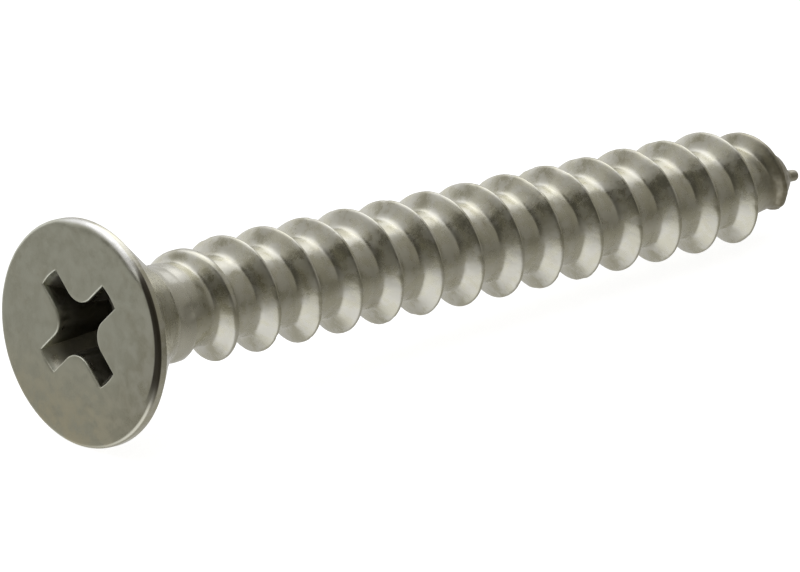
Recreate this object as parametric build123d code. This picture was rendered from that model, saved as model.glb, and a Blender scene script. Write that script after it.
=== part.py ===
"""Countersunk, cross-recessed tapping screw for sheet metal, formed from one piece of stainless wire.

The screw is drawn along its own axis first: head face at z = 0, point at z = screw_length.
It is then laid on its side as it comes to rest, on the rim of its head and on one turn of the
thread, with the head towards -X and the point towards +X.
All lengths are in millimetres and all angles in degrees.
"""

from build123d import *
import math
import os

os.makedirs("parts", exist_ok=True)

# ---------------------------------------------------------------------------------------------
# Driving dimensions
# ---------------------------------------------------------------------------------------------

screw_length = 38.0            # 1 1/2 inch nominal, from the head face to the end of the point

# Thread: number 10, with 12 threads per inch
thread_pitch = 25.4 / 12
thread_diameter = 4.72         # over the crests
root_diameter = 3.3            # core between the turns
crest_flat = 0.12              # width of the flat along the crest
flank_angle = 30.0             # lean of each flank from square to the axis
thread_lead = 0.8              # how far up the neck the ridge starts to grow
crest_rise = 3.1               # stretch over which the first turn reaches its full height
crest_fall = 4.2               # stretch over which the last turns die away on the point
start_flat = 0.9               # width of the crest at the very start, where it isn't filled out

# Head and neck
head_diameter = 8.9
countersink_angle = 82.0       # included angle of the seat
rim_thickness = 0.42           # straight band round the head
face_edge_bevel = 0.12         # worn edge between the face and that band
neck_diameter = 3.74           # wire left unrolled under the head
neck_fillet = 0.8              # where the seat runs into the neck
neck_length = 0.812            # from the end of the seat
run_out_length = 1.3           # stretch over which the neck comes down to the root

# Gimlet point: a long taper, a blunt shoulder and a nib
taper_length = 3.2
shoulder_diameter = 2.3
shoulder_length = 0.9
nib_diameter = 0.42
nib_length = 0.6
nib_bevel = 0.1                # worn end of the nib

# Cross recess, for driver size 2
recess_diameter = 4.78         # over the ends of the wings, at the head face
recess_depth = 3.0
wing_width = 1.0               # at the head face
wing_draft = 4.0               # lean of each side of a wing
wing_end_angle = 26.5          # lean of the end of a wing
recess_floor_angle = 28.0      # slope of the floor, from square to the axis
recess_corner_radius = 0.85    # rounded corners of metal between the wings

# Lie: how far the screw is turned about its own axis, from the start of the thread
roll_angle = -46.0

# ---------------------------------------------------------------------------------------------
# Sizes worked out from the driving dimensions
# ---------------------------------------------------------------------------------------------

head_radius = head_diameter / 2
neck_radius = neck_diameter / 2
root_radius = root_diameter / 2
crest_radius = thread_diameter / 2
shoulder_radius = shoulder_diameter / 2
nib_radius = nib_diameter / 2

seat_lean = math.radians(countersink_angle / 2)
flank_lean = math.radians(flank_angle)

seat_end = rim_thickness + (head_radius - neck_radius) / math.tan(seat_lean)
neck_end = seat_end + neck_length
thread_start = neck_end - thread_lead
nib_start = screw_length - nib_length
shoulder_start = nib_start - shoulder_length

# Corners of the core, from the neck to the nib: distance from the head face, and radius
core_corners = [
    (neck_end, neck_radius),
    (neck_end + run_out_length, root_radius),
    (shoulder_start - taper_length, root_radius),
    (shoulder_start, shoulder_radius),
    (nib_start, nib_radius),
]

# The ridge of the thread is a solid of its own until it joins the core, so its feet reach into
# the core. It is drawn in half turns: each long edge is a chain of short splines.
root_sink = 0.12
thread_end = shoulder_start
spans = math.ceil(2 * (thread_end - thread_start) / thread_pitch)
steps_per_span = 5


# ---------------------------------------------------------------------------------------------
# Thread
# ---------------------------------------------------------------------------------------------

def share(position, start, end):
    """How far along start..end a position lies, held to 0..1."""
    return min(max((position - start) / (end - start), 0.0), 1.0)


def core_radius_at(position):
    """Radius of the core under the thread, at a distance from the head face."""
    radius = neck_radius
    for (start, _), (end, end_radius) in zip(core_corners, core_corners[1:]):
        if position > start:
            radius += (end_radius - radius) * share(position, start, end)
    return radius


def crest_radius_at(position):
    """Radius of the crest: it rises out of the neck, runs level and dies away on the point."""
    buried = root_sink / 3
    low = neck_radius - buried
    rising = low + (crest_radius - low) * share(position, thread_start, thread_start + crest_rise)
    low = shoulder_radius - buried
    fallen = 1 - share(position, thread_end, thread_end - crest_fall)
    falling = low + (crest_radius - low) * (1 - fallen ** 3)
    return min(rising, falling)


def crest_half_flat_at(position):
    """Half the width of the crest, which is broad where the ridge isn't filled out."""
    unfilled = 1 - share(position, thread_start, thread_start + crest_rise)
    return (crest_flat + (start_flat - crest_flat) * unfilled) / 2


def on_helix(position, distance, radius):
    """Point at a distance from the head face and a radius, where the ridge's middle is at position."""
    angle = 2 * math.pi * position / thread_pitch
    return Vector(radius * math.cos(angle), radius * math.sin(angle), distance)


def crest_corner(position, side):
    """Edge of the crest flat, on the head's side (-1) or the point's side (+1)."""
    return on_helix(position, position + side * crest_half_flat_at(position), crest_radius_at(position))


def foot_corner(position, side):
    """Foot of a flank, sunk below the core that it stands on. The core may taper, so it is closed in on."""
    spread = crest_half_flat_at(position)
    for _ in range(12):
        radius = core_radius_at(position + side * spread) - root_sink
        height = crest_radius_at(position) - radius
        spread = crest_half_flat_at(position) + height * math.tan(flank_lean)
    return on_helix(position, position + side * spread, radius)


def long_edge(corner, side):
    """One long edge of the ridge, as splines of half a turn that run on smoothly into each other."""
    span_length = (thread_end - thread_start) / spans
    nudge = span_length / 1000

    def slope(position):
        """Direction and speed of the edge, per span."""
        return (corner(position + nudge, side) - corner(position - nudge, side)) * (span_length / nudge / 2)

    edges = []
    for span in range(spans):
        stops = [step / steps_per_span for step in range(steps_per_span + 1)]
        positions = [thread_start + (span + stop) * span_length for stop in stops]
        edges.append(Edge.make_spline(
            [corner(position, side) for position in positions],
            tangents=[slope(positions[0]), slope(positions[-1])],
            parameters=stops,
            scale=False,
        ))
    return edges


def thread_ridge():
    """The thread as a closed, right-handed ridge: crest flat, two flanks, sunk base and two ends."""
    lines = [long_edge(foot_corner, -1), long_edge(crest_corner, -1),
             long_edge(crest_corner, 1), long_edge(foot_corner, 1)]
    faces = []
    for line, next_line in zip(lines, lines[1:] + lines[:1]):
        faces += [Face.make_surface_from_curves(*pair) for pair in zip(line, next_line)]
    faces.append(Face(Wire.make_polygon([line[0] @ 0 for line in lines])))
    faces.append(Face(Wire.make_polygon([line[-1] @ 1 for line in lines])))
    return Solid(Shell(faces))


# ---------------------------------------------------------------------------------------------
# Head, core and recess
# ---------------------------------------------------------------------------------------------

def turned_blank():
    """Head, neck, core and point: distance, radius and rounding of each corner."""
    corners = [
        (0, 0, 0),
        (0, head_radius - face_edge_bevel, 0),
        (face_edge_bevel, head_radius, 0),
        (rim_thickness, head_radius, 0),
        (seat_end, neck_radius, neck_fillet),
        *[(distance, radius, 0) for distance, radius in core_corners],
        (screw_length - nib_bevel, nib_radius, 0),
        (screw_length, nib_radius - nib_bevel, 0),
        (screw_length, 0, 0),
    ]
    outline = FilletPolyline(
        [(radius, distance) for distance, radius, _ in corners],
        radius=[rounding for _, _, rounding in corners],
        close=True,
    )
    return revolve(Plane.XZ * make_face(outline), Axis.Z)


def cross_section(width, corner_radius):
    """Cross of two long arms, with the metal between them rounded off."""
    arm = Rectangle(2 * recess_diameter, width)
    cross = arm + Rot(0, 0, 90) * arm
    inner_corners = cross.vertices().sort_by_distance((0, 0, 0))[:4]
    return fillet(inner_corners, corner_radius)


def cross_recess():
    """The space that the driver fills: a cross with drafted sides, within a double cone."""
    narrowing = recess_depth * math.tan(math.radians(wing_draft))
    mouth = cross_section(wing_width, recess_corner_radius)
    floor = cross_section(wing_width - 2 * narrowing, recess_corner_radius + narrowing)
    wings = loft([mouth, Pos(0, 0, recess_depth) * floor], ruled=True)

    wing_radius = recess_diameter / 2
    end_slope = math.tan(math.radians(wing_end_angle))
    floor_slope = math.tan(math.radians(recess_floor_angle))
    wing_depth = (recess_depth - wing_radius * floor_slope) / (1 - end_slope * floor_slope)
    floor_radius = wing_radius - wing_depth * end_slope
    cone = Polyline((0, 0), (wing_radius, 0), (floor_radius, wing_depth), (0, recess_depth), close=True)
    driver = revolve(Plane.XZ * make_face(cone), Axis.Z)
    return wings & driver


# ---------------------------------------------------------------------------------------------
# Lie
# ---------------------------------------------------------------------------------------------

def droop():
    """Slope of the axis, in degrees, when the rim and one turn of the thread touch a flat surface."""
    slopes = []
    turn = math.ceil(thread_start / thread_pitch)
    while (lowest := (turn - roll_angle / 360) * thread_pitch) < thread_end:
        climb = head_radius - crest_radius_at(lowest)
        slopes.append(math.atan2(climb, lowest - rim_thickness))
        turn += 1
    return math.degrees(min(slopes))


def laid_down(upright):
    """Roll the screw, tip it on its side and set it on z = 0 with its box centred on the origin."""
    lying = Rot(0, 90 + droop(), 0) * (Rot(0, 0, roll_angle) * upright)
    box = lying.bounding_box()
    return Pos(-box.center().X, -box.center().Y, -box.min.Z) * lying


screw = laid_down(turned_blank() + thread_ridge() - cross_recess())
export_step(screw, "parts/screw.step")
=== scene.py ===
"""Looks of a countersunk, cross-recessed sheet metal screw that lies on a pale surface.

The screw is one mesh, drawn along its own axis in millimetres (head face at 0, point at LENGTH)
and then laid down where the CAD screw lies.
"""
import math

import bpy
import numpy as np
from mathutils import Matrix, Vector, noise


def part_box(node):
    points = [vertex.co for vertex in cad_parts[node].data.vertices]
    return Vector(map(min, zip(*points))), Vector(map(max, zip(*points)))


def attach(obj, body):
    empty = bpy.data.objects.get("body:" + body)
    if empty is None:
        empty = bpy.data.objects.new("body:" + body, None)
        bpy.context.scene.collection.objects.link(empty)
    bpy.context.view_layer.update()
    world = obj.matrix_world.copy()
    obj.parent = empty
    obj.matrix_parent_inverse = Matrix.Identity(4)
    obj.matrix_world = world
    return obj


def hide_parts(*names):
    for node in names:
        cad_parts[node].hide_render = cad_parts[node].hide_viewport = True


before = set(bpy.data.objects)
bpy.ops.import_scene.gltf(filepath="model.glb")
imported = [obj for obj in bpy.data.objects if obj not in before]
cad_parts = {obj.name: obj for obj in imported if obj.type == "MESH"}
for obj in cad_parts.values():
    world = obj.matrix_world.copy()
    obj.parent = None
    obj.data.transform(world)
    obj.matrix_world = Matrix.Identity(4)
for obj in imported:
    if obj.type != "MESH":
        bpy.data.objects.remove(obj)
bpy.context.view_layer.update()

MM = 0.001

# ---------------------------------------------------------------------------------------------
# Sizes of the screw: those of the CAD source, with the ends of the thread, the edge of the face
# and the nib as they are on this worn screw
# ---------------------------------------------------------------------------------------------

LENGTH = 38.0
PITCH = 25.4 / 12
CREST_R = 2.36
ROOT_R = 1.65
CREST_FLAT = 0.12
FLANK_LEAN = math.radians(30)
RIDGE_START = 3.3
CREST_RISE = 3.2              # stretch over which the first turn reaches its full height
CREST_FALL = 4.8              # stretch over which the last turns die away on the point
CREST_BURIED = 0.05           # the ridge starts this far below the neck
CREST_STANDS = 0.03           # and ends this far above the nib
START_FLAT = 0.9
END_FLAT = 0.5
DRAWN_OUT = 0.22              # how far the last turn is drawn out along the axis

HEAD_R = 4.45
SEAT_LEAN = math.radians(41)
RIM = 0.42
FACE_EDGE = 0.16              # rounding between the face and the rim
WORN_EDGE = 0.20              # how much broader it is on the worn side
NECK_R = 1.87
NECK_END = 4.2
RUN_OUT = 1.3

POINT_START = 33.3
SHOULDER_START = 36.5
SHOULDER_R = 1.15
NIB_R = 0.24
NIB_LENGTH = 0.6
NIB_ROUNDING = 0.8 * NIB_R

RECESS_R = 2.39
RECESS_DEPTH = 3.0
WING_WIDTH = 1.0
WING_DRAFT = math.radians(4)
WING_END_LEAN = math.radians(26.5)
FLOOR_LEAN = math.radians(28)
RECESS_CORNER = 0.85

ROLL = math.radians(-46)

NIB_START = LENGTH - NIB_LENGTH
RIDGE_END = NIB_START - NIB_R / 2

# The head was struck a little off the axis and out of square, and the nib is bent
HEAD_SHIFT = (0.19, 0.075)
HEAD_BEND = (0.8, 6.0)        # stretch over which the head's shift dies away
FACE_SLOPE = (0.034, -0.013)
SLOPE_STARTS_TO_FADE = 0.3
NIB_SHIFT = (0.137, 0.082)
NIB_BEND = 1.5                # stretch before the nib over which its shift grows

# Wear
WORN_SIDE = (-0.48, -0.88)    # where the edge of the face is worn down
WORN_TURN = (0.80, 0.93)      # cosine of the angle from there, where the wear starts and is full
DENT = (1.05, -1.65, 4.1)
DENT_R = 0.45
DENT_DEPTH = 0.10
NICK_DEPTH = 0.022
NICK_HEIGHT = (CREST_R - 0.12, CREST_R - 0.02)
NICK_NOISE = (0.28, 0.5)      # noise level where a nick starts and is full

# ---------------------------------------------------------------------------------------------
# Mesh resolution and soft edges
# ---------------------------------------------------------------------------------------------

AROUND = 144                  # vertices in one turn
ROOT_SOFT = 0.25              # blend between flank and root
CREST_SOFT = 0.07             # blend between flank and crest
START_SOFT = 0.40             # the same where the first turn isn't filled out
END_SOFT = 0.40               # the same at the end of the last turn
NECK_SOFT = 0.45              # blend between seat and neck
CONE_SOFT = 0.35              # blend between the cone of the point and its blunt end
TAPER_SOFT = 0.12             # blend between neck and point
NIB_SOFT = 0.08               # blend between the blunt end and the nib
SLEEVE_START = 2.2            # the threaded sleeve of the mesh starts on the seat
SLEEVE_END = NIB_START + 0.06
LIP = 0.07                    # rounded lip of the recess
UNDER_EDGE = 0.05             # worn edge between the rim and the seat
RING_SNAP = 0.012             # rows this near the end of the sleeve join its ring
LEAST_HEIGHT = 0.02           # of the ridge, when the rows on its flanks are spaced
ROWS_ON_FLAT = (0, 0.6)
ROWS_ON_FLANK = (0.12, 0.28, 0.46, 0.64, 0.80, 0.92, 1.0)
ROWS_PAST_FOOT = (0.05, 0.11)
ROWS_BETWEEN = (0.25, 0.5, 0.75)
SHARP_ANGLE = math.radians(50)


def soft_max(a, b, soft):
    """Larger of two heights, with the corner between them rounded off."""
    near = np.clip(soft - np.abs(a - b), 0, None) / soft
    return np.maximum(a, b) + near * near * soft / 4


def soft_min(a, b, soft):
    """Smaller of two heights, with the corner between them rounded off."""
    return -soft_max(-a, -b, soft)


def share(s, start, end):
    """How far along start..end a value lies, held to 0..1."""
    return np.clip((s - start) / (end - start), 0, 1)


def smooth(t):
    """Step from 0 to 1 with level ends."""
    return t * t * (3 - 2 * t)


# ---------------------------------------------------------------------------------------------
# Form of the screw
# ---------------------------------------------------------------------------------------------

def core_radius(s):
    """Radius between the turns: seat, neck, root and cone of the point."""
    seat = HEAD_R - (s - RIM) * math.tan(SEAT_LEAN)
    neck = NECK_R + (ROOT_R - NECK_R) * smooth(share(s, NECK_END, NECK_END + RUN_OUT))
    taper = (ROOT_R - SHOULDER_R) / (SHOULDER_START - POINT_START)
    cone = ROOT_R - (s - POINT_START) * taper
    blunt = NIB_R + (NIB_START - s) * (SHOULDER_R - NIB_R) / (NIB_START - SHOULDER_START)
    point = soft_max(soft_min(cone, blunt, CONE_SOFT), NIB_R + 0 * s, NIB_SOFT)
    return soft_max(seat, soft_min(neck, point, TAPER_SOFT), NECK_SOFT)


def crest_radius(s):
    """Radius over the crest of the ridge."""
    low = NECK_R - CREST_BURIED
    rising = low + (CREST_R - low) * share(s, RIDGE_START, RIDGE_START + CREST_RISE)
    left = 1 - share(s, RIDGE_END, RIDGE_END - CREST_FALL)
    low = NIB_R + CREST_STANDS
    falling = low + (CREST_R - low) * (1 - left**3)
    return np.minimum(rising, falling)


def varied(s, start, middle, end):
    """A value that differs where the first turn isn't filled out and on the last turn."""
    unfilled = 1 - share(s, RIDGE_START, RIDGE_START + CREST_RISE)
    worn = 1 - share(s, RIDGE_END, RIDGE_END - PITCH)
    return middle + (start - middle) * unfilled + (end - middle) * worn


def crest_half_flat(s):
    """Half the width of the crest."""
    return varied(s, START_FLAT, CREST_FLAT, END_FLAT) / 2


def crest_position(column):
    """Distance of the crest along the axis; the last turn on the point is drawn out."""
    even = column * PITCH / AROUND
    return even + DRAWN_OUT * smooth(share(even, RIDGE_END - PITCH, RIDGE_END - PITCH / 2))


def flank_height(s, crest_s):
    """Radius of the flanks of the turn whose crest is at crest_s."""
    top = crest_radius(crest_s)
    side = top - (np.abs(s - crest_s) - crest_half_flat(crest_s)) / math.tan(FLANK_LEAN)
    return soft_min(top, side, varied(crest_s, START_SOFT, CREST_SOFT, END_SOFT))


def axis_offset(s):
    """Where the middle of the surface lies at s, as head and nib aren't true to the shank."""
    head = 1 - smooth(share(s, *HEAD_BEND))
    nib = smooth(share(s, NIB_START - NIB_BEND, NIB_START))
    return [head * by_head + nib * by_nib for by_head, by_nib in zip(HEAD_SHIFT, NIB_SHIFT)]


def sleeve_radius(s, crest_s, next_s):
    """Radius of the threaded surface, between the turn at crest_s and the next one."""
    ridges = np.maximum(flank_height(s, crest_s), flank_height(s, next_s))
    return soft_max(core_radius(s), ridges, ROOT_SOFT)


def foot_reach(crest_s, side):
    """Distance along the axis from a crest to the foot of its flank."""
    reach = crest_half_flat(crest_s)
    for _ in range(12):
        height = crest_radius(crest_s) - core_radius(crest_s + side * reach)
        reach = crest_half_flat(crest_s) + np.clip(height, LEAST_HEIGHT, None) * math.tan(FLANK_LEAN)
    return reach


def sleeve_rows(crest_s, next_s):
    """Distances along the axis of the mesh rows, from one crest to the next."""
    def half(at, side):
        flat = crest_half_flat(at)[:, None]
        reach = foot_reach(at, side)[:, None]
        on_flank = flat + (reach - flat) * np.array(ROWS_ON_FLANK)
        past = reach + np.array(ROWS_PAST_FOOT)
        return np.concatenate([flat * np.array(ROWS_ON_FLAT), flat, on_flank, past], axis=1)

    ahead = crest_s[:, None] + half(crest_s, 1)
    behind = next_s[:, None] - half(next_s, -1)[:, ::-1]
    gap = behind[:, :1] - ahead[:, -1:]
    between = ahead[:, -1:] + gap * np.array(ROWS_BETWEEN)
    return np.concatenate([ahead, between, behind], axis=1)


class MeshParts:
    """Vertices and faces that are gathered before the mesh is made."""

    def __init__(self):
        self.points = []
        self.faces = []

    def add_points(self, points):
        first = len(self.points)
        self.points.extend(points)
        return list(range(first, len(self.points)))

    def add_face(self, corners):
        kept = [c for n, c in enumerate(corners) if c != corners[n - 1]]
        if len(set(kept)) == len(kept) and len(kept) >= 3:
            self.faces.append(kept)

    def bridge(self, ring_a, ring_b):
        for n in range(len(ring_a)):
            m = (n + 1) % len(ring_a)
            self.add_face([ring_a[n], ring_a[m], ring_b[m], ring_b[n]])


def circle():
    """Unit vectors from the axis to each vertex of a ring."""
    turn = np.arange(AROUND) * 2 * math.pi / AROUND
    return np.column_stack([np.cos(turn), np.sin(turn)])


def ring_points(radius, s):
    """Ring round the axis; radius and s are each one number, or one for each vertex."""
    across = circle() * np.reshape(radius, (-1, 1)) + np.transpose(axis_offset(s))
    return np.column_stack([across, np.broadcast_to(s, AROUND)])


def add_sleeve(parts, start_ring, end_ring):
    """Threaded surface as one strip that winds round the axis, between two rings."""
    first = math.floor((SLEEVE_START - PITCH) / PITCH * AROUND)
    last = math.ceil(SLEEVE_END / PITCH * AROUND)
    column = np.arange(first, last + 1)
    crest_s = crest_position(column)
    next_s = crest_position(column + AROUND)
    s = sleeve_rows(crest_s, next_s)
    radius = sleeve_radius(s, crest_s[:, None], next_s[:, None])
    turn = (column * 2 * math.pi / AROUND)[:, None]
    off_x, off_y = axis_offset(s)
    x = radius * np.cos(turn) + off_x
    y = radius * np.sin(turn) + off_y
    rows = s.shape[1]
    index = {}
    for i, c in enumerate(column):
        for j in range(rows - 1):
            if s[i, j] <= SLEEVE_START + RING_SNAP:
                index[c, j] = start_ring[c % AROUND]
            elif s[i, j] >= SLEEVE_END - RING_SNAP:
                index[c, j] = end_ring[c % AROUND]
            else:
                index[c, j] = len(parts.points)
                parts.points.append((x[i, j], y[i, j], s[i, j]))
    for c in column:
        if s[c - first, -1] >= SLEEVE_END - RING_SNAP:
            index[c, rows - 1] = end_ring[c % AROUND]
        elif s[c - first, -1] <= SLEEVE_START + RING_SNAP:
            index[c, rows - 1] = start_ring[c % AROUND]
        else:
            index[c, rows - 1] = index[c + AROUND, 0]
    for c in column[:-1]:
        for j in range(rows - 1):
            parts.add_face([index[c, j], index[c + 1, j], index[c + 1, j + 1], index[c, j + 1]])


def cross_outline(width, corner, reach):
    """Outline of the cross, as one point for each vertex of a ring."""
    half = width / 2
    bend = half + corner
    lean = math.asin(half / reach)
    quarter = []
    for t in np.linspace(0, 1, 5)[:-1]:
        quarter.append((reach * math.cos(lean * t), reach * math.sin(lean * t)))
    start = reach * math.cos(lean)
    for t in np.linspace(0, 1, 6)[:-1]:
        quarter.append((start + (bend - start) * t, half))
    for t in np.linspace(0, 1, 19)[:-1]:
        a = math.radians(270 - 90 * t)
        quarter.append((bend + corner * math.cos(a), bend + corner * math.sin(a)))
    for t in np.linspace(0, 1, 6)[:-1]:
        quarter.append((half, bend + (start - bend) * t))
    for t in np.linspace(0, 1, 5)[:-1]:
        a = math.pi / 2 - lean * (1 - t)
        quarter.append((reach * math.cos(a), reach * math.sin(a)))
    quarter = np.array(quarter)
    swapped = quarter[:, ::-1] * (-1, 1)
    return np.concatenate([quarter, swapped, -quarter, -swapped])


def recess_section(depth):
    """Outline of the drafted cross at a depth below the head face."""
    lean_in = depth * math.tan(WING_DRAFT)
    reach = RECESS_R - depth * math.tan(WING_END_LEAN)
    return cross_outline(WING_WIDTH - 2 * lean_in, RECESS_CORNER + lean_in, reach)


def recess_wall_depths():
    """Depth at which each vertical line of the recess wall meets the floor."""
    low = np.zeros(AROUND)
    high = np.full(AROUND, RECESS_DEPTH)
    rows = np.arange(AROUND)
    for _ in range(24):
        middle = (low + high) / 2
        radius = np.array([np.hypot(*recess_section(d)[k]) for k, d in zip(rows, middle)])
        above = (RECESS_DEPTH - middle) / math.tan(FLOOR_LEAN) > radius
        low = np.where(above, middle, low)
        high = np.where(above, high, middle)
    return low


def head_loops():
    """Rings of points from the middle of the recess, over the head face and rim, to the sleeve."""
    loops = []
    depths = recess_wall_depths()
    foot = np.array([recess_section(d)[k] for k, d in enumerate(depths)])
    for g in np.linspace(0.06, 1, 10)[:-1]:
        radius = np.hypot(foot[:, 0], foot[:, 1]) * g
        loops.append(np.column_stack([foot * g, RECESS_DEPTH - radius * math.tan(FLOOR_LEAN)]))
    for g in np.linspace(1, 0, 15)[:-1]:
        d = LIP + (depths - LIP) * g
        wall = np.array([recess_section(depth)[k] for k, depth in enumerate(d)])
        loops.append(np.column_stack([wall, d]))
    for a in np.linspace(0, math.pi / 2, 6):
        spread = LIP * (1 - math.cos(a))
        d = LIP * (1 - math.sin(a))
        lip = cross_outline(WING_WIDTH + 2 * spread, RECESS_CORNER - spread, RECESS_R + spread)
        loops.append(np.column_stack([lip, np.full(AROUND, d)]))
    lip = loops[-1][:, :2]
    rounding = FACE_EDGE + WORN_EDGE * smooth(share(circle() @ WORN_SIDE, *WORN_TURN))
    flat_r = HEAD_R - rounding
    edge = circle() * flat_r[:, None] + HEAD_SHIFT
    for t in np.linspace(0, 1, 22)[1:]:
        loops.append(np.column_stack([lip + (edge - lip) * t, np.zeros(AROUND)]))
    profile = []
    for a in np.linspace(0, math.pi / 2, 9)[1:]:
        profile.append((flat_r + rounding * math.sin(a), rounding * (1 - math.cos(a))))
    bevel = UNDER_EDGE * math.tan(SEAT_LEAN / 2)
    for t in (0.35, 0.7):
        profile.append((HEAD_R, rounding + (RIM - bevel - rounding) * t))
    for a in np.linspace(0, SEAT_LEAN, 4):
        under_r = HEAD_R - UNDER_EDGE * (1 - math.cos(a))
        profile.append((under_r, RIM - bevel + UNDER_EDGE * math.sin(a)))
    seat_start = profile[-1][1]
    for t in np.linspace(0, 1, 16)[1:-1]:
        s = seat_start + (SLEEVE_START - seat_start) * t
        profile.append((float(core_radius(np.array(s))), s))
    for radius, s in profile:
        loops.append(ring_points(radius, s))
    for loop in loops:
        follow = 1 - smooth(share(loop[:, 2], SLOPE_STARTS_TO_FADE, SLEEVE_START))
        loop[:, 2] += follow * (loop[:, :2] @ FACE_SLOPE)
    return loops


def build_mesh():
    """Head, threaded sleeve and nib as one closed surface."""
    parts = MeshParts()
    loops = head_loops()
    middle = parts.add_points([(0, 0, RECESS_DEPTH)])[0]
    rings = [parts.add_points([tuple(p) for p in loop]) for loop in loops]
    for n in range(AROUND):
        parts.add_face([middle, rings[0][n], rings[0][(n + 1) % AROUND]])
    for ring_a, ring_b in zip(rings, rings[1:]):
        parts.bridge(ring_a, ring_b)
    start_r = float(core_radius(np.array(SLEEVE_START)))
    start_ring = parts.add_points(ring_points(start_r, SLEEVE_START))
    end_ring = parts.add_points(ring_points(NIB_R, SLEEVE_END))
    parts.bridge(rings[-1], start_ring)
    add_sleeve(parts, start_ring, end_ring)
    last = end_ring
    for t in (0.4, 0.8):
        s = SLEEVE_END + (LENGTH - NIB_ROUNDING - SLEEVE_END) * t
        ring = parts.add_points(ring_points(NIB_R, s))
        parts.bridge(last, ring)
        last = ring
    for a in np.linspace(0, math.pi / 2, 6):
        radius = NIB_R - NIB_ROUNDING * (1 - math.cos(a))
        ring = parts.add_points(ring_points(radius, LENGTH - NIB_ROUNDING * (1 - math.sin(a))))
        parts.bridge(last, ring)
        last = ring
    tip = parts.add_points(ring_points(0, LENGTH)[:1])[0]
    for n in range(AROUND):
        parts.add_face([last[n], last[(n + 1) % AROUND], tip])
    return np.array(parts.points, float), parts.faces


# ---------------------------------------------------------------------------------------------
# Lie: as the CAD screw, on its rim and one turn of the thread
# ---------------------------------------------------------------------------------------------

def lie_matrix(points):
    """From the screw's own frame to the shared one."""
    down = points[:, 0] * math.cos(ROLL) - points[:, 1] * math.sin(ROLL)
    along = points[:, 2]
    rim = np.argmax(np.where(along < 1, down, 0))
    ahead = along > NECK_END
    slopes = np.arctan2(down[rim] - down[ahead], along[ahead] - along[rim])
    droop = slopes.min()
    height = along[rim] * math.sin(droop) + down[rim] * math.cos(droop)
    reach = (along * math.cos(droop) - down * math.sin(droop)).max()
    turn = Matrix.Rotation(math.pi / 2 + droop, 4, "Y") @ Matrix.Rotation(ROLL, 4, "Z")
    high_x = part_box("screw")[1].x
    return Matrix.Translation((high_x - reach * MM, 0, height * MM)) @ turn


# ---------------------------------------------------------------------------------------------
# Wear: a slightly uneven surface, nicked crests and one dent
# ---------------------------------------------------------------------------------------------

def unevenness(point):
    """How far the surface stands out at a point, in millimetres."""
    rough = smooth(share(point.z, SHOULDER_START - PITCH, SHOULDER_START))
    height = 0.012 * noise.noise(point * 1.1) + 0.004 * noise.noise(point * 2.9)
    height += rough * 0.05 * noise.noise(point * 2.0)
    on_shank = smooth(share(point.z, 0.5, SLEEVE_START))
    return float(height * (0.2 + 0.8 * on_shank))


def nick(point):
    """How far the surface is knocked in: at places along the crests, and in one dent by the neck."""
    radius = math.hypot(point.x, point.y)
    on_crest = smooth(share(radius, *NICK_HEIGHT)) * (point.z > NECK_END)
    knock = smooth(share(noise.noise(point * 1.7 + Vector((7, 3, 1))), *NICK_NOISE))
    dent = smooth(share((point - Vector(DENT)).length, DENT_R, 0.0))
    return float(NICK_DEPTH * on_crest * knock + DENT_DEPTH * dent)


def wear_down(points, normals):
    """The points, each moved along its normal by the wear there."""
    worn = []
    for p, n in zip(points, normals):
        point = Vector(p)
        worn.append(point + Vector(n) * (unevenness(point) - nick(point)))
    return worn


def make_screw():
    """The mesh is worn down in the screw's own frame and laid down in the shared one."""
    points, faces = build_mesh()
    lie = lie_matrix(points)
    mesh = bpy.data.meshes.new("screw_body")
    mesh.from_pydata([Vector(p) for p in points], [], faces)
    normals = [v.normal.copy() for v in mesh.vertices]
    for vertex, point in zip(mesh.vertices, wear_down(points, normals)):
        vertex.co = lie @ (point * MM)
    mesh.validate()
    mesh.update()
    mesh.polygons.foreach_set("use_smooth", [True] * len(mesh.polygons))
    mesh.set_sharp_from_angle(angle=SHARP_ANGLE)
    screw = bpy.data.objects.new("screw_body", mesh)
    bpy.context.scene.collection.objects.link(screw)
    mesh.materials.append(steel_material(lie))
    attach(screw, "root")
    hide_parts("screw")


# ---------------------------------------------------------------------------------------------
# Material
# ---------------------------------------------------------------------------------------------

STEEL = (0.625, 0.61, 0.50, 1)
# lighter steel: random lighter patches, and a painted highlight on the neck
PALE_STEEL_AND_SHEEN = (0.72, 0.71, 0.63, 1)
# painted light: lighter steel on the face, standing in for more light falling on it
LIT_FACE_STEEL = (0.68, 0.69, 0.59, 1)
STAIN = (0.42, 0.375, 0.25, 1)
DARK_STAIN = (0.30, 0.275, 0.20, 1)
LOW_STAIN = (0.69, 0.655, 0.50, 1)
# bare steel of the worn edge, made lighter still as a painted highlight
BARE_STEEL_AND_HIGHLIGHT = (0.90, 0.90, 0.86, 1)
# painted shade: near black, put deep in the recess and along one side of the rim
SHADE_BLACK = (0.070, 0.060, 0.044, 1)
RIM_SHADE_SIDE = (0.54, -0.84, 0)     # side of the rim with painted shade, in the screw's own frame
LOW_SIDE = (0.69, 0.72, 0)        # side that lies lowest
SHADED_WING = (-1, 0, 0)           # wing of the recess with painted shade up to its end

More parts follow.
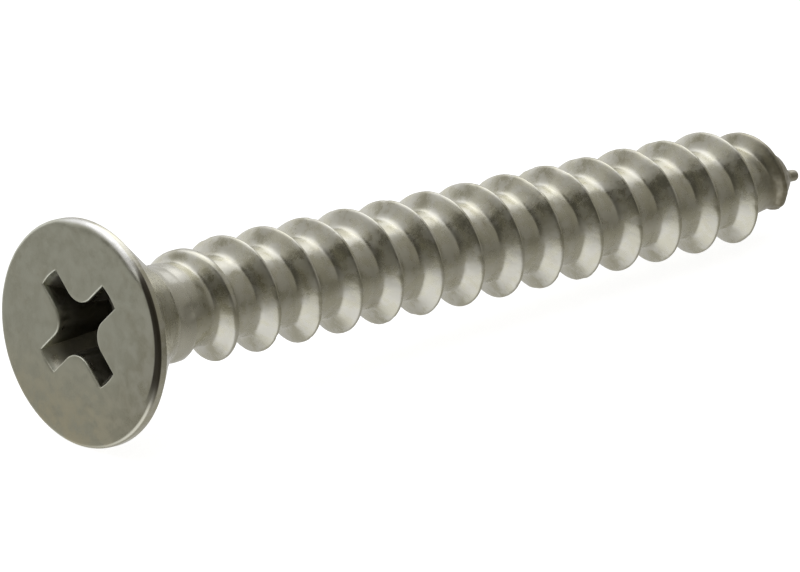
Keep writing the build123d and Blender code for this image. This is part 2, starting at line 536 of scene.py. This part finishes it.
# Where the finish changes: each pair is where a mask starts and where it is full, in millimetres
# along the axis, out from it or across, except the turns, which are cosines
FACE_ALONG = (0.22, 0.06)
POINT_ALONG = (SHOULDER_START - PITCH, SHOULDER_START - PITCH / 4)
SHOULDER_OUT = (0.35, 0.6)
NECK_RISE = (1.6, 2.6)
NECK_FALL = (5.2, 4.2)
WORN_OUT = (4.06, 4.18)
WORN_ALONG = (0.26, 0.18)
WING_ACROSS = (0.8, 1.5)
WING_ALONG = (0.02, 0.3)
RECESS_ALONG = (0.0, 0.9)
RECESS_OUT = (2.6, 2.42)
RECESS_LEAN = 0.5                 # how much the recess narrows with depth
RIM_RISE = (0.04, 0.10)
RIM_FALL = (0.33, 0.27)
RIM_OUT = (4.26, 4.34)
RIM_SHADE_TURN = (0.72, 0.92)
LOW_ACROSS = (0.5, 4.2)


class Shader:
    """A material or world with short calls for the nodes that it is built from."""

    def __init__(self, owner):
        owner.use_nodes = True
        self.tree = owner.node_tree

    def node(self, kind, **settings):
        made = self.tree.nodes.new(kind)
        for name, value in settings.items():
            setattr(made, name, value)
        return made

    def link(self, source, target):
        self.tree.links.new(source, target)

    def feed(self, target, value):
        if isinstance(value, bpy.types.NodeSocket):
            self.link(value, target)
        else:
            target.default_value = value

    def math(self, operation, a, b):
        made = self.node("ShaderNodeMath", operation=operation)
        self.feed(made.inputs[0], a)
        self.feed(made.inputs[1], b)
        return made.outputs[0]

    def product(self, first, *others):
        for other in others:
            first = self.math("MULTIPLY", first, other)
        return first

    def ramp(self, value, low, high, to_low=0.0, to_high=1.0):
        """Smooth step from to_low to to_high as the value goes from low to high."""
        if low > high:
            low, high, to_low, to_high = high, low, to_high, to_low
        made = self.node("ShaderNodeMapRange", interpolation_type="SMOOTHSTEP")
        self.feed(made.inputs["Value"], value)
        made.inputs["From Min"].default_value = low
        made.inputs["From Max"].default_value = high
        made.inputs["To Min"].default_value = to_low
        made.inputs["To Max"].default_value = to_high
        return made.outputs["Result"]

    def vector(self, operation, a, b):
        made = self.node("ShaderNodeVectorMath", operation=operation)
        self.feed(made.inputs[0], a)
        self.feed(made.inputs[1], b)
        return made.outputs["Vector"]

    def dot(self, a, b):
        made = self.node("ShaderNodeVectorMath", operation="DOT_PRODUCT")
        self.feed(made.inputs[0], a)
        self.feed(made.inputs[1], b)
        return made.outputs["Value"]

    def length(self, a):
        made = self.node("ShaderNodeVectorMath", operation="LENGTH")
        self.link(a, made.inputs[0])
        return made.outputs["Value"]

    def noise(self, where, scale, detail, roughness):
        made = self.node("ShaderNodeTexNoise")
        self.link(where, made.inputs["Vector"])
        made.inputs["Scale"].default_value = scale
        made.inputs["Detail"].default_value = detail
        made.inputs["Roughness"].default_value = roughness
        return made.outputs["Fac"]

    def mix_color(self, amount, a, b):
        made = self.node("ShaderNodeMix", data_type="RGBA", blend_type="MIX")
        self.feed(made.inputs["Factor"], amount)
        self.feed(made.inputs["A"], a)
        self.feed(made.inputs["B"], b)
        return made.outputs["Result"]


def own_place(sh, lie):
    """Place on the surface in the screw's own frame, in millimetres."""
    stand_up = lie.inverted()
    back = sh.node("ShaderNodeMapping", vector_type="POINT")
    back.inputs["Scale"].default_value = (1 / MM, 1 / MM, 1 / MM)
    back.inputs["Rotation"].default_value = stand_up.to_euler("XYZ")
    back.inputs["Location"].default_value = stand_up.to_translation() / MM
    sh.link(sh.node("ShaderNodeTexCoord").outputs["Object"], back.inputs["Vector"])
    return back.outputs["Vector"]


def shade_in_recess(sh, where, radius, along):
    """Mask of the painted shade: full deep in the recess, and nearer the face in one of its wings."""
    wing = sh.product(sh.ramp(sh.dot(where, SHADED_WING), *WING_ACROSS), sh.ramp(along, *WING_ALONG))
    deep = sh.math("MAXIMUM", wing, sh.ramp(along, *RECESS_ALONG))
    cone = sh.math("ADD", radius, sh.math("MULTIPLY", along, RECESS_LEAN))
    return sh.product(sh.ramp(cone, *RECESS_OUT), deep)


def steel_material(lie):
    """Dull stainless steel: cloudy, stained and rougher on the face and point, with painted shade in
    the recess and along one side of the rim, painted light as lighter steel on the face and neck, and a
    painted highlight on the worn edge.
    """
    mat = bpy.data.materials.new("stainless_steel")
    sh = Shader(mat)
    bsdf = sh.tree.nodes["Principled BSDF"]
    where = own_place(sh, lie)
    across = sh.vector("MULTIPLY", where, (1, 1, 0))
    radius = sh.length(across)
    apart = sh.node("ShaderNodeSeparateXYZ")
    sh.link(where, apart.inputs[0])
    along = apart.outputs["Z"]

    def towards(side):
        """Cosine of the angle round the axis from a side."""
        return sh.math("DIVIDE", sh.dot(across, side), radius)

    cloud = sh.noise(where, scale=0.9, detail=4, roughness=0.6)
    mottle = sh.noise(where, scale=1.7, detail=4, roughness=0.62)
    fine = sh.noise(where, scale=3.5, detail=3, roughness=0.6)

    on_face = sh.ramp(along, *FACE_ALONG)
    shoulder = sh.ramp(radius, *SHOULDER_OUT, to_low=0.6, to_high=1.0)
    on_point = sh.product(sh.ramp(along, *POINT_ALONG), shoulder)
    neck_sheen = sh.product(sh.ramp(along, *NECK_RISE), sh.ramp(along, *NECK_FALL))
    worn = sh.ramp(towards((*WORN_SIDE, 0)), *WORN_TURN)
    worn = sh.product(worn, sh.ramp(radius, *WORN_OUT), sh.ramp(along, *WORN_ALONG))
    recess_shade = shade_in_recess(sh, where, radius, along)
    on_rim = sh.product(sh.ramp(along, *RIM_RISE), sh.ramp(along, *RIM_FALL), sh.ramp(radius, *RIM_OUT))
    # painted shade: a dark band along the rim on one side of the head
    scale = sh.product(on_rim, sh.ramp(towards(RIM_SHADE_SIDE), *RIM_SHADE_TURN))

    stained = sh.math("MULTIPLY", sh.ramp(cloud, 0.5, 0.72), 0.22)
    low = sh.product(on_face, sh.ramp(sh.dot(where, LOW_SIDE), *LOW_ACROSS))
    low = sh.product(low, sh.ramp(mottle, 0.35, 0.6, to_low=0.2, to_high=1.0))
    dark = sh.product(on_point, sh.ramp(fine, 0.3, 0.6, to_low=0.7, to_high=1.0))
    # painted shade: near black in the recess and in the band along one side of the rim
    shaded = sh.math("MAXIMUM", sh.math("MULTIPLY", recess_shade, 0.70), sh.math("MULTIPLY", scale, 0.95))
    color = sh.mix_color(sh.ramp(mottle, 0.40, 0.62), STEEL, PALE_STEEL_AND_SHEEN)
    # painted light: the face gets a lighter copy of the steel in place of more light on it
    color = sh.mix_color(on_face, color, LIT_FACE_STEEL)
    color = sh.mix_color(stained, color, STAIN)
    color = sh.mix_color(low, color, LOW_STAIN)
    # painted highlight: the neck is lightened to stand in for its bright reflections
    color = sh.mix_color(sh.math("MULTIPLY", neck_sheen, 0.7), color, PALE_STEEL_AND_SHEEN)
    # painted highlight: the worn edge is bare steel, lightened further to stand in for its bright
    # reflection
    color = sh.mix_color(worn, color, BARE_STEEL_AND_HIGHLIGHT)
    color = sh.mix_color(dark, color, DARK_STAIN)
    color = sh.mix_color(shaded, color, SHADE_BLACK)
    sh.link(color, bsdf.inputs["Base Color"])

    rough = sh.ramp(mottle, 0.35, 0.65, to_low=0.20, to_high=0.36)
    rough = sh.math("ADD", rough, sh.math("MULTIPLY", on_face, 0.14))
    rough = sh.math("ADD", rough, sh.math("MULTIPLY", on_point, 0.10))
    rough = sh.math("SUBTRACT", rough, sh.math("MULTIPLY", worn, 0.08))
    sh.link(sh.math("ADD", rough, sh.math("MULTIPLY", shaded, 0.3)), bsdf.inputs["Roughness"])
    bsdf.inputs["Metallic"].default_value = 1.0

    grain = sh.node("ShaderNodeBump")
    grain.inputs["Strength"].default_value = 0.3
    grain.inputs["Distance"].default_value = 0.00003
    sh.link(sh.noise(where, scale=2.2, detail=3, roughness=0.6), grain.inputs["Height"])
    sh.link(grain.outputs["Normal"], bsdf.inputs["Normal"])
    return mat


# ---------------------------------------------------------------------------------------------
# Floor, light and camera
# ---------------------------------------------------------------------------------------------

def direction(azimuth, elevation):
    """Unit vector; azimuth 0 is towards -Y and 90 towards +X, both in degrees."""
    a = math.radians(azimuth)
    e = math.radians(elevation)
    return Vector((math.sin(a) * math.cos(e), -math.cos(a) * math.cos(e), math.sin(e)))


FLOOR_SIZE = 3.0              # metres from the middle to each edge
FLOOR_GLOW = 0.88             # seen by the camera alone


def make_floor():
    """Pale floor with a faint shadow. The metal looks through it, at the world below the horizon."""
    size = FLOOR_SIZE
    floor_mesh = bpy.data.meshes.new("floor")
    corners = [(-size, -size, 0), (size, -size, 0), (size, size, 0), (-size, size, 0)]
    floor_mesh.from_pydata(corners, [], [(0, 1, 2, 3)])
    floor = bpy.data.objects.new("floor", floor_mesh)
    bpy.context.scene.collection.objects.link(floor)
    mat = bpy.data.materials.new("pale_floor")
    sh = Shader(mat)
    bsdf = sh.tree.nodes["Principled BSDF"]
    bsdf.inputs["Base Color"].default_value = (0.5, 0.5, 0.5, 1)
    bsdf.inputs["Roughness"].default_value = 0.9
    bsdf.inputs["Specular IOR Level"].default_value = 0.0
    bsdf.inputs["Emission Color"].default_value = (1, 1, 1, 1)
    path = sh.node("ShaderNodeLightPath")
    glow = sh.math("MULTIPLY", path.outputs["Is Camera Ray"], FLOOR_GLOW)
    sh.link(glow, bsdf.inputs["Emission Strength"])
    mirrored = sh.math("MAXIMUM", path.outputs["Is Glossy Ray"], path.outputs["Is Transmission Ray"])
    mix = sh.node("ShaderNodeMixShader")
    sh.link(mirrored, mix.inputs[0])
    sh.link(bsdf.outputs[0], mix.inputs[1])
    sh.link(sh.node("ShaderNodeBsdfTransparent").outputs[0], mix.inputs[2])
    sh.link(mix.outputs[0], sh.tree.nodes["Material Output"].inputs["Surface"])
    floor_mesh.materials.append(mat)


# Soft lights round the screw: azimuth, elevation, spread in degrees, level (1 is white)
AMBIENT = 0.08
SOFT_LIGHTS = {
    "overhead": (170, 75, 45, 0.95),
    "key": (120, 45, 25, 0.70),
    "backdrop": (150, 25, 95, 0.50),
    "behind": (-170, 5, 35, 0.40),
    "upper_left": (-100, 45, 30, 0.50),
    "front": (30, 30, 45, 0.20),
    "low_left": (-95, -50, 40, 0.60),
    "table": (0, -90, 105, 0.35),
}
FULL_SHARE = 0.15                     # part of its spread over which a light has its full level
DIM_LIGHT = (1.0, 0.955, 0.82, 1)     # what the metal mirrors is warm where it is dim
FULL_LIGHT = (0.985, 0.98, 1.0, 1)
DIM_TO_FULL = (0.1, 0.8)              # levels between which the colour changes


def make_world():
    """White to the camera alone; the metal mirrors a dim studio with a few soft lights."""
    world = bpy.data.worlds.new("studio")
    bpy.context.scene.world = world
    sh = Shader(world)
    facing = sh.node("ShaderNodeTexCoord").outputs["Generated"]
    level = AMBIENT
    for azimuth, elevation, spread, strength in SOFT_LIGHTS.values():
        edge = math.cos(math.radians(spread))
        core = math.cos(math.radians(spread * FULL_SHARE))
        glow = sh.ramp(sh.dot(facing, direction(azimuth, elevation)), edge, core, 0.0, strength)
        level = sh.math("ADD", glow, level)
    path = sh.node("ShaderNodeLightPath")
    seen = path.outputs["Is Camera Ray"]
    background = sh.tree.nodes["Background"]
    color = sh.mix_color(sh.ramp(level, *DIM_TO_FULL), DIM_LIGHT, FULL_LIGHT)
    sh.link(sh.mix_color(seen, color, (1, 1, 1, 1)), background.inputs["Color"])
    sh.link(sh.math("MAXIMUM", level, seen), background.inputs["Strength"])


CAMERA_LENS = 495.4                   # millimetres, on a sensor 36 mm wide
CAMERA_BACK = (-42.06, 20.11)         # azimuth and elevation of the camera from what it looks at
CAMERA_AIM = (-9.345, -7.782, 6.174)  # millimetres
CAMERA_DISTANCE = 0.4174              # metres


def make_camera():
    """Camera at the photograph's viewing angle."""
    data = bpy.data.cameras.new("camera")
    data.lens = CAMERA_LENS
    data.sensor_width = 36.0
    data.clip_start = 0.01
    data.clip_end = 10
    camera = bpy.data.objects.new("camera", data)
    bpy.context.scene.collection.objects.link(camera)
    bpy.context.scene.camera = camera
    back = direction(*CAMERA_BACK)
    aim = Vector(CAMERA_AIM) * MM
    turn = back.to_track_quat("Z", "Y").to_matrix().to_4x4()
    camera.matrix_world = Matrix.Translation(aim + back * CAMERA_DISTANCE) @ turn


make_screw()
make_floor()
make_world()
make_camera()

bpy.context.scene.view_settings.view_transform = "Standard"
